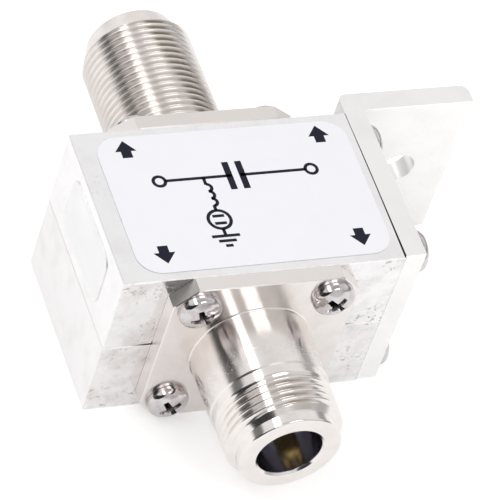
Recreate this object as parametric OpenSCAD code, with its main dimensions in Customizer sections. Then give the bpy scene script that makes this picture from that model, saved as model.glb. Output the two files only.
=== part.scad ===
// Coaxial lightning arrestor: a split aluminium housing with a threaded jack at each end,
// a series capacitor, a coil and a gas tube in its chamber, and an angle bracket on its side.
// X runs to the bracket side, Y to the antenna end, Z up from the housing's underside.

/* [Housing] */
// Width of the housing across the jacks
housing_width = 38.5; // [37.5:0.1:42]
// Depth of the housing between the two jack flanges
housing_depth = 24.9; // [24.5:0.1:28]
// Height of one half; the jacks lie on the seam between the halves
half_height = 12.7; // [12.4:0.1:14]
// Chamfer along every outer edge of the halves
edge_break = 0.1; // [0.08:0.02:0.4]
// Thickness of the end walls that hold the jack pilots
end_wall = 3.4; // [3:0.1:3.8]
// Depth of the chamber in each half
chamber_depth = 6.2; // [5.6:0.1:6.8]
// Reach of the chamber from the jack axis toward the bracket
chamber_right = 6.6; // [6:0.1:8]

/* [Jacks] */
// Thickness of the square flange
flange_thickness = 2.2; // [1.8:0.1:3]
// Length of the flanges' corner cuts along the upper and lower edges
flange_corner = 2.9; // [2:0.1:3.4]
// Length of the equipment flange's corner cuts along its side edges
equipment_corner_drop = 2.9; // [2:0.1:3.4]
// Length of the antenna flange's corner cuts along its side edges
antenna_corner_drop = 2.1; // [1.6:0.1:3.4]
// Distance of the four screws from the flange's sides
screw_edge = 3.58; // [3.4:0.02:3.8]
// Diameter of the barrel over its thread
thread_d = 15.875; // [15.4:0.005:16.4]
// Advance of the thread in one turn
thread_pitch = 1.058; // [1.02:0.002:1.2]
// Depth of the thread
thread_depth = 0.58; // [0.5:0.02:0.6]
// Width of the grooves that stand for the turns of the thread
thread_groove = 0.46; // [0.36:0.02:0.48]
// Reach of the equipment jack beyond its flange
equipment_reach = 17; // [15:0.1:20]
// Reach of the antenna jack beyond its flange
antenna_reach = 24.35; // [20:0.05:28]
// Plain length between the equipment jack's flange and its thread
equipment_plain = 8.5; // [7:0.1:9]
// Plain length between the antenna jack's flange and its thread
antenna_plain = 1.4; // [0.8:0.1:3]
// Length of the equipment jack's plain nose in front of the thread
equipment_nose = 1.5; // [1:0.1:2.5]
// Diameter of the equipment jack's nose
equipment_nose_d = 13.6; // [13:0.1:14.4]
// Length of the antenna jack's tapered nose in front of the thread
antenna_nose = 2.8; // [2:0.1:4]
// Diameter of the antenna jack's nose where it leaves the thread
antenna_nose_d = 14.4; // [13.6:0.1:14.6]
// Diameter of the antenna jack's nose at its end
antenna_tip_d = 12.6; // [12:0.1:13.5]
// Diameter of the socket that takes the mating plug
socket_d = 8.6; // [8.1:0.1:9]
// Depth of the socket from its mouth to the insulator
socket_depth = 9.2; // [8.6:0.1:10]
// Chamfer around the end of the nose
nose_chamfer = 0.3; // [0.2:0.05:0.5]
// Chamfer at the socket's mouth
mouth_chamfer = 0.5; // [0.3:0.05:0.6]
// Diameter of the pilot that sits in the housing's end wall
pilot_d = 11.6; // [11:0.1:12.4]

/* [Centre line] */
// Diameter of the insulator's front part
insulator_d = 7; // [6.4:0.1:7.4]
// Diameter of the insulator's rear collar
collar_d = 9; // [8.6:0.1:9.6]
// Length of the insulator's rear collar
collar_length = 2.4; // [1.8:0.1:3]
// Diameter of the socket contact
contact_d = 3.05; // [2.9:0.05:3.2]
// Distance of the contact's tip behind the socket's mouth
contact_recess = 4.2; // [4:0.1:5]
// Bore of the contact
contact_bore = 1.65; // [1.5:0.05:1.8]
// Depth of the contact's bore
contact_bore_depth = 4.6; // [4:0.1:5.2]
// Width of the slots between the contact's fingers
slot_width = 0.3; // [0.2:0.05:0.4]
// Length of the contact's fingers
finger_length = 3.6; // [3:0.1:3.9]
// Diameter of the contact's solder tail
tail_d = 1.6; // [1.4:0.1:1.8]

/* [Capacitor] */
// Diameter of the two capacitor plates
plate_d = 9; // [8:0.1:10]
// Thickness of a capacitor plate
plate_thickness = 1; // [0.8:0.1:1.3]
// Thickness of the dielectric disc between the plates
dielectric_thickness = 0.5; // [0.3:0.05:0.8]
// How far the dielectric disc stands out beyond the plates
dielectric_rim = 0.6; // [0.3:0.1:1]
// Diameter of the hubs that the solder tails enter
hub_d = 4.2; // [3.8:0.1:4.6]
// Length of a hub
hub_length = 4.8; // [4.4:0.1:5.2]
// Thickness left between a hub's bore and its plate
hub_floor = 0.6; // [0.4:0.1:1]

/* [Gas tube] */
// Diameter of the gas tube
tube_d = 7; // [6.4:0.1:7.4]
// Length of the tube's ceramic ring
ceramic_length = 3.6; // [3:0.1:4]
// Wall of the ceramic ring
ceramic_wall = 1.1; // [0.9:0.1:1.3]
// Thickness of an end cap
cap_thickness = 1.2; // [1:0.1:1.5]
// Spark gap between the electrodes
spark_gap = 0.8; // [0.5:0.1:1.2]
// Free space between an electrode and the ceramic ring
electrode_clearance = 0.6; // [0.4:0.1:0.9]
// How far the tube sits in the housing's side wall
seat_depth = 1.6; // [1.3:0.1:2]

/* [Coil] */
// Width of the spiral's strip
strip_width = 0.8; // [0.6:0.05:0.9]
// Thickness of the spiral's strip
strip_thickness = 1; // [0.8:0.1:1.4]
// Radius of the spiral's first half turn
spiral_radius = 3; // [2.8:0.1:3.3]
// Advance of the spiral in one turn
spiral_pitch = 1.6; // [1.4:0.1:1.8]
// Number of half turns, odd so that the spiral ends beside the gas tube
half_turns = 3; // [1:2:3]
// Length of the lead between the spiral and the gas tube
coil_lead = 1.5; // [1:0.1:2]
// How far a lead enters its slot
lead_grip = 0.6; // [0.4:0.1:0.8]

/* [Screws] */
// Diameter of the screws over their thread
screw_d = 2.84; // [2.6:0.02:3]
// Diameter of the screw heads
head_d = 5.6; // [5.2:0.1:6]
// Height of the screw heads
head_height = 1.9; // [1.6:0.1:2.2]
// Radius of the heads' domed tops
head_dome = 4.2; // [3.6:0.1:5]
// Length of thread in the housing
screw_grip = 5.6; // [5:0.1:6.2]
// Width of the cross recess
recess_width = 0.8; // [0.6:0.1:1]
// Length of the cross recess from tip to tip
recess_length = 3; // [2.6:0.1:3.4]
// Depth of the cross recess
recess_depth = 1; // [0.8:0.1:1.2]

/* [Bracket] */
// Thickness of the bracket's legs
bracket_thickness = 2.9; // [2.6:0.1:3.4]
// Width of the leg that stands out, from the housing's side to its toe
bracket_leg = 18.9; // [16.6:0.1:22]
// How far the bracket is set back from the housing's ends
bracket_setback = 0.3; // [0:0.05:0.6]
// Fillet in the bracket's inner corner
bracket_fillet = 0.5; // [0.1:0.05:0.5]
// Radius of the bracket's heel
heel_radius = 1; // [0.6:0.1:1.4]
// Radius of the outer corner of the toe
toe_radius = 1.2; // [0.8:0.1:2]
// Distance of the bracket's screws from the housing's ends
bracket_screw_edge = 3.33; // [3.2:0.01:5]
// Distance of the bracket's screws from the housing's top and underside
bracket_screw_margin = 3.1; // [3:0.05:3.6]
// Diameter of the mounting hole
mount_hole_d = 5.1; // [4.6:0.1:5.6]
// Distance of the mounting hole from the toe
mount_hole_edge = 7.6; // [6:0.1:9]

/* [Labels] */
// Thickness of the labels
label_thickness = 0.12; // [0.1:0.01:0.2]
// Housing left bare in front of the label on top and behind it
label_end_margin = 1.15; // [0.8:0.05:3]
// Housing left bare on the left of the label on top
label_left_margin = 2.7; // [1.5:0.1:4]
// Housing left bare on the right of the label on top
label_right_margin = 1.1; // [0.8:0.1:3]
// Corner radius of the label on top
label_radius = 3.2; // [2:0.1:4]
// Housing left bare in front of the label on the left side and behind it
side_label_end_margin = 5.1; // [3:0.1:7]
// Housing left bare above the label on the left side and below it
side_label_margin = 1.9; // [1.2:0.1:3]
// Corner radius of the label on the left side
side_label_radius = 2; // [1:0.1:3]

/* [Fits] */
// Play around shanks, pilots and other round fits
fit_gap = 0.05; // [0.03:0.01:0.1]
// Play around the screws in the flanges and the bracket
screw_play = 0.2; // [0.15:0.05:0.3]
// Free space kept past the end of a screw
end_space = 0.6; // [0.4:0.1:0.8]

/* [Hidden] */
$fn = 64;
cut = 1;
housing_height = 2 * half_height;
axis_z = half_height;
flange_size = housing_height;
side_x = housing_width / 2;
end_y = housing_depth / 2;
screw_half = flange_size / 2 - screw_edge;
bracket_screw_half = end_y - bracket_screw_edge;
bracket_screw_rise = half_height - bracket_screw_margin;
plate_face = dielectric_thickness / 2 + plate_thickness;
tail_end = plate_face + hub_floor;
spiral_end = spiral_radius + (half_turns - 1) * spiral_pitch / 2;
tube_face = spiral_end + strip_width / 2 + coil_lead;
tube_length = ceramic_length + 2 * cap_thickness;
seat_bottom = tube_face + tube_length;
chamber_left = seat_bottom - seat_depth;
coil_y = plate_face + hub_length / 2;
electrode_d = tube_d - 2 * (ceramic_wall + electrode_clearance);
electrode_length = (ceramic_length - spark_gap) / 2;
bracket_front = bracket_setback - end_y;
leg_front = bracket_setback + end_y;
bracket_back = leg_front + bracket_thickness;
hole_x = side_x + bracket_leg - mount_hole_edge;
label_width = housing_width - label_left_margin - label_right_margin;
label_depth = housing_depth - 2 * label_end_margin;
label_x = (label_left_margin - label_right_margin) / 2;
side_label_depth = housing_depth - 2 * side_label_end_margin;
side_label_height = half_height - 2 * side_label_margin;

aluminium = [0.86, 0.86, 0.85];
nickel = [0.78, 0.76, 0.73];
brass = [0.80, 0.62, 0.28];
copper = [0.78, 0.48, 0.30];
white = [0.95, 0.95, 0.95];
steel = [0.72, 0.72, 0.74];

// Places a piece drawn outward along Z at the equipment end of the housing.
module at_equipment_end() {
    translate([0, -end_y, axis_z])
        rotate([90, 0, 0])
            children();
}

// Places a piece drawn outward along Z at the antenna end of the housing.
module at_antenna_end() {
    translate([0, end_y, axis_z])
        rotate([-90, 0, 0])
            children();
}

// Places a piece drawn outward along Z on the bracket side of the housing.
module at_bracket_side() {
    translate([side_x, 0, axis_z])
        rotate([0, 90, 0])
            children();
}

// Repeats a piece at the corners of a flange's square screw pattern, or of another rectangle.
module at_screw_corners(x_half = screw_half, y_half = screw_half) {
    for (x = [-x_half, x_half])
        for (y = [-y_half, y_half])
            translate([x, y, 0])
                children();
}

// Rectangle about the origin with its corners cut off, by one length across and another up or down.
module cut_rectangle(width, height, across, drop) {
    x = width / 2;
    y = height / 2;
    polygon([
        [-x + across, -y], [x - across, -y], [x, -y + drop], [x, y - drop],
        [x - across, y], [-x + across, y], [-x, y - drop], [-x, -y + drop]
    ]);
}

// Rectangle about the origin with round corners.
module round_rectangle(width, height, radius) {
    square([width - 2 * radius, height], center = true);
    square([width, height - 2 * radius], center = true);
    for (x = [-1, 1])
        for (y = [-1, 1])
            translate([x * (width / 2 - radius), y * (height / 2 - radius)])
                circle(radius);
}

// Block about the origin with every edge chamfered.
module eased_block(width, depth, height) {
    intersection() {
        linear_extrude(height, center = true)
            cut_rectangle(width, depth, edge_break, edge_break);
        rotate([90, 0, 0])
            linear_extrude(depth, center = true)
                cut_rectangle(width, height, edge_break, edge_break);
        rotate([90, 0, 90])
            linear_extrude(width, center = true)
                cut_rectangle(depth, height, edge_break, edge_break);
    }
}

// Everything that is cut from the block: chamber, pilot bores, tube seat and tapped holes.
module housing_cuts() {
    translate([-chamber_left, -end_y + end_wall, axis_z - chamber_depth])
        cube([chamber_left + chamber_right, housing_depth - 2 * end_wall, 2 * chamber_depth]);
    translate([0, -end_y - cut, axis_z])
        rotate([-90, 0, 0])
            cylinder(h = housing_depth + 2 * cut, d = pilot_d + 2 * fit_gap);
    translate([-seat_bottom, coil_y, axis_z])
        rotate([0, 90, 0])
            cylinder(h = seat_depth + cut, d = tube_d + 2 * fit_gap);
    at_equipment_end()
        at_screw_corners()
            tapped_hole();
    at_antenna_end()
        at_screw_corners()
            tapped_hole();
    at_bracket_side()
        at_screw_corners(bracket_screw_rise, bracket_screw_half)
            tapped_hole();
}

module tapped_hole() {
    depth = screw_grip + end_space;
    translate([0, 0, -depth])
        cylinder(h = depth + cut, d = screw_d + 2 * fit_gap);
}

module upper_housing() {
    color(aluminium)
        difference() {
            translate([0, 0, 1.5 * half_height])
                eased_block(housing_width, housing_depth, half_height);
            housing_cuts();
        }
}

module lower_housing() {
    color(aluminium)
        difference() {
            translate([0, 0, half_height / 2])
                eased_block(housing_width, housing_depth, half_height);
            housing_cuts();
        }
}

// Ring-shaped grooves that stand for the turns of a thread, from one height to another.
module thread_grooves(start, end) {
    root = thread_d / 2 - thread_depth;
    outside = thread_d / 2 + cut;
    spread = thread_groove / 2 * (thread_depth + cut) / thread_depth;
    turns = floor((end - start) / thread_pitch);
    for (turn = [0 : turns - 1])
        translate([0, 0, start + (turn + 0.5) * thread_pitch])
            rotate_extrude()
                polygon([[root, 0], [outside, -spread], [outside, spread]]);
}

// Jack shell turned and milled in one piece: pilot, square flange, threaded barrel and nose.
module jack_shell(reach, corner_drop, plain, nose, nose_d, tip_d) {
    tip = flange_thickness + reach;
    shoulder = tip - nose;
    lead_in = (thread_d - nose_d) / 2;
    mouth = socket_d + 2 * mouth_chamfer;
    color(nickel)
        difference() {
            union() {
                translate([0, 0, -end_wall])
                    cylinder(h = end_wall + cut, d = pilot_d);
                linear_extrude(flange_thickness)
                    cut_rectangle(flange_size, flange_size, flange_corner, corner_drop);
                difference() {
                    union() {
                        cylinder(h = shoulder - lead_in, d = thread_d);
                        translate([0, 0, shoulder - lead_in])
                            cylinder(h = lead_in, d1 = thread_d, d2 = nose_d);
                    }
                    thread_grooves(flange_thickness + plain, shoulder);
                }
                translate([0, 0, shoulder])
                    cylinder(h = nose - nose_chamfer, d1 = nose_d, d2 = tip_d);
                translate([0, 0, tip - nose_chamfer])
                    cylinder(h = nose_chamfer, d1 = tip_d, d2 = tip_d - 2 * nose_chamfer);
            }
            translate([0, 0, -end_wall - cut])
                cylinder(h = collar_length + cut, d = collar_d + 2 * fit_gap);
            translate([0, 0, -end_wall])
                cylinder(h = tip + end_wall, d = insulator_d + 2 * fit_gap);
            translate([0, 0, tip - socket_depth])
                cylinder(h = socket_depth + cut, d = socket_d);
            translate([0, 0, tip - mouth_chamfer])
                cylinder(h = mouth_chamfer, d1 = socket_d, d2 = mouth);
            at_screw_corners()
                translate([0, 0, -cut])
                    cylinder(h = flange_thickness + 2 * cut, d = screw_d + 2 * screw_play);
        }
}

// White plastic insulator: a collar behind the flange and a long front part in the barrel.
module jack_insulator(reach) {
    front = flange_thickness + reach - socket_depth;
    color(white)
        difference() {
            union() {
                translate([0, 0, -end_wall])
                    cylinder(h = collar_length, d = collar_d);
                translate([0, 0, -end_wall])
                    cylinder(h = front + end_wall, d = insulator_d);
            }
            translate([0, 0, -end_wall - cut])
                cylinder(h = front + end_wall + 2 * cut, d = contact_d + 2 * fit_gap);
        }
}

// Gilt socket contact: a solder tail, a solid shank and four slotted spring fingers.
module jack_contact(reach) {
    tip = flange_thickness + reach - contact_recess;
    color(brass)
        difference() {
            union() {
                translate([0, 0, tail_end - end_y])
                    cylinder(h = end_y - tail_end, d = tail_d);
                translate([0, 0, -end_wall])
                    cylinder(h = tip + end_wall - nose_chamfer, d = contact_d);
                translate([0, 0, tip - nose_chamfer])
                    cylinder(h = nose_chamfer, d1 = contact_d, d2 = contact_d - 2 * nose_chamfer);
            }
            translate([0, 0, tip - contact_bore_depth])
                cylinder(h = contact_bore_depth + cut, d = contact_bore);
            for (turn = [0, 90])
                rotate(turn)
                    translate([-contact_d, -slot_width / 2, tip - finger_length])
                        cube([2 * contact_d, slot_width, finger_length + cut]);
        }
}

// Pan-head screw with a cross recess, its seat at the origin and its head up.
module pan_screw(clamped) {
    length = clamped + screw_grip;
    color(steel)
        difference() {
            union() {
                translate([0, 0, -length])
                    cylinder(h = length + head_height / 2, d = screw_d);
                rotate_extrude()
                    intersection() {
                        translate([0, head_height - head_dome])
                            circle(head_dome);
                        square([head_d / 2, head_height]);
                    }
            }
            for (turn = [0, 90])
                rotate(turn)
                    translate([-recess_length / 2, -recess_width / 2, head_height - recess_depth])
                        cube([recess_length, recess_width, recess_depth + cut]);
        }
}

module flange_screws() {
    at_screw_corners()
        translate([0, 0, flange_thickness])
            pan_screw(flange_thickness);
}

module equipment_shell() {
    at_equipment_end()
        jack_shell(equipment_reach, equipment_corner_drop, equipment_plain, equipment_nose,
                   equipment_nose_d, equipment_nose_d);
}

module equipment_insulator() {
    at_equipment_end()
        jack_insulator(equipment_reach);
}

module equipment_contact() {
    at_equipment_end()
        jack_contact(equipment_reach);
}

module equipment_screws() {
    at_equipment_end()
        flange_screws();
}

module antenna_shell() {
    at_antenna_end()
        jack_shell(antenna_reach, antenna_corner_drop, antenna_plain, antenna_nose,
                   antenna_nose_d, antenna_tip_d);
}

module antenna_insulator() {
    at_antenna_end()
        jack_insulator(antenna_reach);
}

module antenna_contact() {
    at_antenna_end()
        jack_contact(antenna_reach);
}

module antenna_screws() {
    at_antenna_end()
        flange_screws();
}

// Capacitor plate with the hub that the solder tail enters, drawn outward along Z.
module capacitor_plate() {
    difference() {
        union() {
            translate([0, 0, dielectric_thickness / 2])
                cylinder(h = plate_thickness, d = plate_d);
            translate([0, 0, dielectric_thickness / 2])
                cylinder(h = plate_thickness + hub_length, d = hub_d);
        }
        translate([0, 0, tail_end])
            cylinder(h = hub_length + cut, d = tail_d + 2 * fit_gap);
    }
}

module equipment_plate() {
    color(brass)
        translate([0, 0, axis_z])
            rotate([90, 0, 0])
                capacitor_plate();
}

module antenna_plate() {
    color(brass)
        difference() {
            translate([0, 0, axis_z])
                rotate([-90, 0, 0])
                    capacitor_plate();
            translate([hub_d / 2, coil_y, axis_z])
                lead_slot();
        }
}

module capacitor_dielectric() {
    color(white)
        translate([0, 0, axis_z])
            rotate([90, 0, 0])
                cylinder(h = dielectric_thickness, d = plate_d + 2 * dielectric_rim, center = true);
}

// Flat spiral from the antenna plate's hub to the gas tube.
module drain_coil() {
    color(copper)
        translate([0, coil_y, axis_z])
            rotate([90, 0, 0])
                linear_extrude(strip_thickness, center = true)
                    spiral_outline();
}

// Half rings that meet end to end, each wider than the last, with a straight lead at each end.
module spiral_outline() {
    inner_end = hub_d / 2 - lead_grip;
    outer_end = tube_face + lead_grip;
    for (half_turn = [0 : half_turns - 1])
        translate([half_turn % 2 * spiral_pitch / 2, 0])
            half_ring(spiral_radius + half_turn * spiral_pitch / 2, half_turn % 2);
    translate([inner_end, -strip_width / 2])
        square([spiral_radius + strip_width / 2 - inner_end, strip_width]);
    translate([-outer_end, -strip_width / 2])
        square([outer_end - spiral_end + strip_width / 2, strip_width]);
}

// Half of a ring of strip, above the origin or below it.
module half_ring(radius, below) {
    reach = radius + strip_width;
    intersection() {
        difference() {
            circle(radius + strip_width / 2);
            circle(radius - strip_width / 2);
        }
        translate([-reach, -below * reach])
            square([2 * reach, reach]);
    }
}

// Slot for a lead of the spiral, cut along X about the origin.
module lead_slot() {
    cube([2 * lead_grip, strip_thickness + 2 * fit_gap, strip_width + 2 * fit_gap], center = true);
}

// End cap of the gas tube with the electrode that stands inside the ceramic ring, drawn along Z.
module tube_cap() {
    cylinder(h = cap_thickness, d = tube_d);
    cylinder(h = cap_thickness + electrode_length, d = electrode_d);
}

module tube_line_cap() {
    color(nickel)
        difference() {
            translate([-tube_face, coil_y, axis_z])
                rotate([0, -90, 0])
                    tube_cap();
            translate([-tube_face, coil_y, axis_z])
                lead_slot();
        }
}

module tube_ceramic() {
    color(white)
        translate([-tube_face - cap_thickness - ceramic_length, coil_y, axis_z])
            rotate([0, 90, 0])
                difference() {
                    cylinder(h = ceramic_length, d = tube_d);
                    translate([0, 0, -cut])
                        cylinder(h = ceramic_length + 2 * cut, d = tube_d - 2 * ceramic_wall);
                }
}

module tube_ground_cap() {
    color(nickel)
        translate([-seat_bottom, coil_y, axis_z])
            rotate([0, 90, 0])
                tube_cap();
}

// Section of the angle: one leg along the housing's side, the other standing out behind it.
module bracket_section() {
    difference() {
        union() {
            translate([side_x, bracket_front])
                square([bracket_thickness, bracket_back - bracket_front]);
            translate([side_x, leg_front])
                square([bracket_leg, bracket_thickness]);
            translate([side_x + bracket_thickness, leg_front - bracket_fillet])
                square(bracket_fillet);
        }
        translate([side_x + bracket_thickness + bracket_fillet, leg_front - bracket_fillet])
            circle(bracket_fillet);
        translate([side_x, bracket_back])
            rotate(-90)
                corner_waste(heel_radius);
        translate([side_x + bracket_leg, bracket_back])
            rotate(180)
                corner_waste(toe_radius);
    }
}

// What rounding takes off a corner at the origin whose sides run along +X and +Y.
module corner_waste(radius) {
    difference() {
        translate([-cut, -cut])
            square(radius + cut);
        translate([radius, radius])
            circle(radius);
    }
}

module mounting_bracket() {
    color(aluminium)
        difference() {
            linear_extrude(housing_height)
                bracket_section();
            at_bracket_side()
                at_screw_corners(bracket_screw_rise, bracket_screw_half)
                    translate([0, 0, -cut])
                        cylinder(h = bracket_thickness + 2 * cut, d = screw_d + 2 * screw_play);
            translate([hole_x, leg_front - cut, axis_z])
                rotate([-90, 0, 0])
                    cylinder(h = bracket_thickness + 2 * cut, d = mount_hole_d);
        }
}

module bracket_screws() {
    at_bracket_side()
        at_screw_corners(bracket_screw_rise, bracket_screw_half)
            translate([0, 0, bracket_thickness])
                pan_screw(bracket_thickness);
}

module top_label() {
    color(white)
        translate([label_x, 0, housing_height])
            linear_extrude(label_thickness)
                round_rectangle(label_width, label_depth, label_radius);
}

module side_label() {
    color(white)
        translate([-side_x, 0, 1.5 * half_height])
            rotate([90, 0, -90])
                linear_extrude(label_thickness)
                    round_rectangle(side_label_depth, side_label_height, side_label_radius);
}

upper_housing();
lower_housing();
equipment_shell();
equipment_insulator();
equipment_contact();
equipment_screws();
antenna_shell();
antenna_insulator();
antenna_contact();
antenna_screws();
equipment_plate();
capacitor_dielectric();
antenna_plate();
drain_coil();
tube_line_cap();
tube_ceramic();
tube_ground_cap();
mounting_bracket();
bracket_screws();
top_label();
side_label();
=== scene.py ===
"""Looks of a coaxial lightning arrestor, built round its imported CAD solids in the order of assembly."""

import bmesh
import bpy
import numpy as np
from mathutils import Matrix, Vector


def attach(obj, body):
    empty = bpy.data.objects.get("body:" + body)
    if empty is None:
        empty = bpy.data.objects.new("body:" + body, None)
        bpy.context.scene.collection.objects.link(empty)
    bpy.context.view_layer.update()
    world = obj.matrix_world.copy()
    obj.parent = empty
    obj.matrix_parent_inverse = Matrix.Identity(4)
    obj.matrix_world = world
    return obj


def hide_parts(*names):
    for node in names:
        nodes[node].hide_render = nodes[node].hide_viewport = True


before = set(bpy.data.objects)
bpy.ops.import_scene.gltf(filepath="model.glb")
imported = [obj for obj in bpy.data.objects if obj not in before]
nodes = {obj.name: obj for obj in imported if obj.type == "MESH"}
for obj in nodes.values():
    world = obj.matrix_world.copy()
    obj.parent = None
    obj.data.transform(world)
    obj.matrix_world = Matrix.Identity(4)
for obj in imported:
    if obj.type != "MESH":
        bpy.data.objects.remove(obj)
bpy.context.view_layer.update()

# Housing halves
# Two blocks milled from aluminium bar and clamped on each other by the jack flanges.
# Their faces keep the cutter's marks, and years of handling left pits, scuffs and nicked edges.
TOP_Z = 0.0254
SEAM_Z = 0.0127
SIDE_X = 0.01925
PAST_SIDE_X = SIDE_X + 0.00005


def add_node(tree, kind, inputs=None, **settings):
    """Adds a shader node and gives each named input a constant or the socket that feeds it."""
    node = tree.nodes.new(kind)
    for name, value in settings.items():
        setattr(node, name, value)
    for name, value in (inputs or {}).items():
        if isinstance(value, bpy.types.NodeSocket):
            tree.links.new(value, node.inputs[name])
        else:
            node.inputs[name].default_value = value
    return node


def sums(tree, operation, first, second=0.0, clamp=False):
    """One step of arithmetic on two values."""
    return add_node(tree, "ShaderNodeMath", {0: first, 1: second}, operation=operation,
                    use_clamp=clamp).outputs[0]


def product(tree, first, *others):
    """The first value times each of the others in turn."""
    for other in others:
        first = sums(tree, "MULTIPLY", first, other)
    return first


def ramp(tree, value, low, high, start=0.0, end=1.0):
    """Smooth rise from start to end while the value goes from low to high."""
    node = add_node(tree, "ShaderNodeMapRange", {"Value": value, "From Min": low, "From Max": high,
                                                 "To Min": start, "To Max": end},
                    interpolation_type="SMOOTHSTEP")
    return node.outputs["Result"]


def blend_colours(tree, factor, first, second):
    """First colour at factor 0, second colour at factor 1."""
    node = add_node(tree, "ShaderNodeMix", {0: factor, 6: first, 7: second}, data_type="RGBA")
    return node.outputs[2]


def noise(tree, vector, scale, detail=2.0, roughness=0.5):
    """Soft random tone whose patches measure about one over the scale, in metres."""
    node = add_node(tree, "ShaderNodeTexNoise", {"Vector": vector, "Scale": scale, "Detail": detail,
                                                 "Roughness": roughness})
    return node.outputs["Fac"]


def place_on_object(tree, scale=(1.0, 1.0, 1.0), shift=(0.0, 0.0, 0.0)):
    """The object's own coordinates, stretched along each axis and moved."""
    source = add_node(tree, "ShaderNodeTexCoord")
    mapped = add_node(tree, "ShaderNodeMapping", {"Vector": source.outputs["Object"], "Scale": scale,
                                                  "Location": shift})
    return mapped.outputs["Vector"]


def components(tree, vector):
    """X, Y and Z of a vector."""
    return add_node(tree, "ShaderNodeSeparateXYZ", {"Vector": vector}).outputs


def face_direction(tree):
    """X, Y and Z of the direction in which the flat face points."""
    return components(tree, add_node(tree, "ShaderNodeNewGeometry").outputs["True Normal"])


def new_group(name, inputs, outputs):
    """Empty shader node group with the named number or vector sockets."""
    group = bpy.data.node_groups.new(name, "ShaderNodeTree")
    for socket, kind in inputs.items():
        group.interface.new_socket(socket, in_out="INPUT", socket_type="NodeSocket" + kind)
    for socket, kind in outputs.items():
        group.interface.new_socket(socket, in_out="OUTPUT", socket_type="NodeSocket" + kind)
    entry = group.nodes.new("NodeGroupInput")
    result = group.nodes.new("NodeGroupOutput")
    return group, entry.outputs, result.inputs


def use_group(tree, group, inputs):
    """Places a node group in a material with its own values."""
    return add_node(tree, "ShaderNodeGroup", inputs, node_tree=group).outputs


def new_material(name, **constants):
    """Material with one Principled shader whose constant sockets are set here."""
    material = bpy.data.materials.new(name)
    material.use_nodes = True
    tree = material.node_tree
    shader = tree.nodes["Principled BSDF"]
    for socket, value in constants.items():
        shader.inputs[socket.replace("_", " ")].default_value = value
    return material, tree, shader


def finish_material(tree, shader, colour, roughness, height, depth):
    """Feeds colour, roughness and relief to the shader; depth is the relief's height in metres."""
    tree.links.new(colour, shader.inputs["Base Color"])
    tree.links.new(roughness, shader.inputs["Roughness"])
    bump = add_node(tree, "ShaderNodeBump", {"Height": height, "Distance": depth, "Strength": 1.0})
    tree.links.new(bump.outputs["Normal"], shader.inputs["Normal"])


def dress(node, material):
    """Gives a CAD node the material in every one of its slots."""
    slots = nodes[node].data.materials
    slots.clear()
    slots.append(material)


# Cutter marks: long streaks from noise squeezed across the feed direction, coarse and fine together.
cutter_marks, given, result = new_group("cutter marks", {"Vector": "Vector"}, {"Height": "Float"})
tree = cutter_marks
coarse = noise(tree, given["Vector"], scale=500.0, detail=2.0)
fine = noise(tree, given["Vector"], scale=2200.0, detail=3.0, roughness=0.6)
streaks = sums(tree, "ADD", product(tree, coarse, 0.6), product(tree, fine, 0.4))
tree.links.new(streaks, result["Height"])

# Handling marks: small pits where fine noise peaks inside larger smudged areas.
handling_marks, given, result = new_group(
    "handling marks", {"Vector": "Vector", "Amount": "Float"}, {"Pits": "Float", "Smudge": "Float"})
tree = handling_marks
area = ramp(tree, noise(tree, given["Vector"], scale=150.0, detail=3.0), 0.48, 0.66)
peaks = ramp(tree, noise(tree, given["Vector"], scale=2200.0, detail=3.0, roughness=0.6), 0.58, 0.7)
pits = sums(tree, "MULTIPLY", product(tree, area, peaks), given["Amount"], clamp=True)
smudge = ramp(tree, noise(tree, given["Vector"], scale=230.0, detail=4.0, roughness=0.6), 0.4, 0.75)
tree.links.new(pits, result["Pits"])
tree.links.new(smudge, result["Smudge"])

# Edge marks: faces that lie along no axis are the edge breaks. Those along the front are nicked
# bright by knocks and carry a painted highlight, and those beside the bracket carry black painted shade.
edge_marks_and_light, given, result = new_group(
    "edge marks and painted light", {"Vector": "Vector"}, {"Edge": "Float", "Nicks and highlight": "Float", "Painted shade": "Float"})
tree = edge_marks_and_light
toward = face_direction(tree)
largest = sums(tree, "ABSOLUTE", toward["X"])
for axis in "YZ":
    largest = sums(tree, "MAXIMUM", largest, sums(tree, "ABSOLUTE", toward[axis]))
edge = ramp(tree, largest, 0.95, 0.8)
front = product(tree, ramp(tree, toward["Y"], -0.3, -0.5),
                ramp(tree, sums(tree, "ABSOLUTE", toward["Z"]), 0.3, 0.5))
# Bright nicks on the front edge breaks, which also paint a highlight along those edges.
nicks_and_highlight = ramp(tree, noise(tree, given["Vector"], scale=1600.0, detail=3.0, roughness=0.6), 0.42, 0.55)
spot = components(tree, place_on_object(tree))
on_housing = sums(tree, "LESS_THAN", spot["X"], PAST_SIDE_X)
# Black painted shade on the housing's edge breaks that face the bracket, in the crevice beside it.
painted_shade = product(tree, edge, ramp(tree, toward["X"], 0.3, 0.5), on_housing)
tree.links.new(edge, result["Edge"])
tree.links.new(product(tree, edge, front, nicks_and_highlight), result["Nicks and highlight"])
tree.links.new(painted_shade, result["Painted shade"])

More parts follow.
